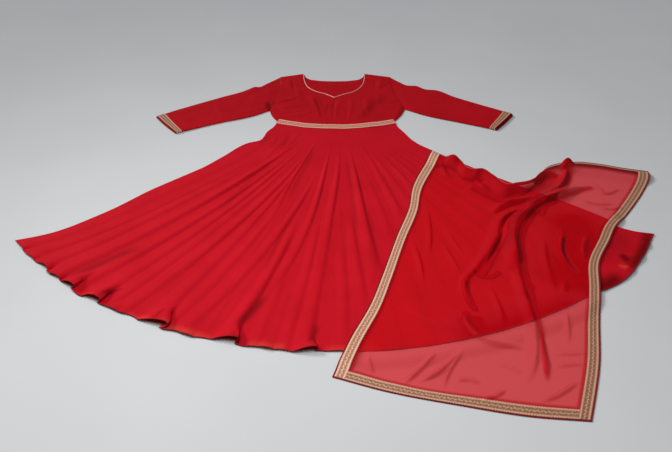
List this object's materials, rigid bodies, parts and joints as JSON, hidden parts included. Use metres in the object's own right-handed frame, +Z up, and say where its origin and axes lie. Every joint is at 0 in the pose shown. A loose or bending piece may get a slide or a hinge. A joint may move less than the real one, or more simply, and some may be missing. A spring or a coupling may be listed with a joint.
{
  "type": "maxi suit, south asian flared dress with dupatta, laid flat",
  "caption": "Red floor-length flared dress with long sleeves and gold lace trims, laid flat on the floor with a sheer bordered dupatta over one side of its skirt.",
  "frame": {"origin": "on the floor, below the middle of the whole suit's box", "axes": "+X towards the right-hand sleeve as the picture shows it, +Y from hem to neck, +Z up from the floor"},
  "size_m": [1.7096, 1.5204, 0.0267],
  "materials": {
    "skirt_cloth": "soft crepe georgette",
    "bodice_cloth": "soft crepe georgette",
    "inside_cloth": "soft crepe georgette, inside",
    "sheer_cloth": "sheer chiffon",
    "gold_lace": "woven metallic lace",
    "gold_piping": "metallic cord"
  },
  "bodies": {
    "root": {"skirt_front": "skirt_cloth", "skirt_back": "inside_cloth", "bodice_front": "bodice_cloth", "bodice_back": "inside_cloth", "sleeve_left": "bodice_cloth", "sleeve_right": "bodice_cloth", "neck_piping": "gold_piping", "waist_lace": "gold_lace", "cuff_lace_left": "gold_lace", "cuff_lace_right": "gold_lace", "dupatta": "sheer_cloth", "dupatta_lace_left": "gold_lace", "dupatta_lace_bottom": "gold_lace", "dupatta_lace_right": "gold_lace", "dupatta_lace_top": "gold_lace"}
  },
  "joints": []
}
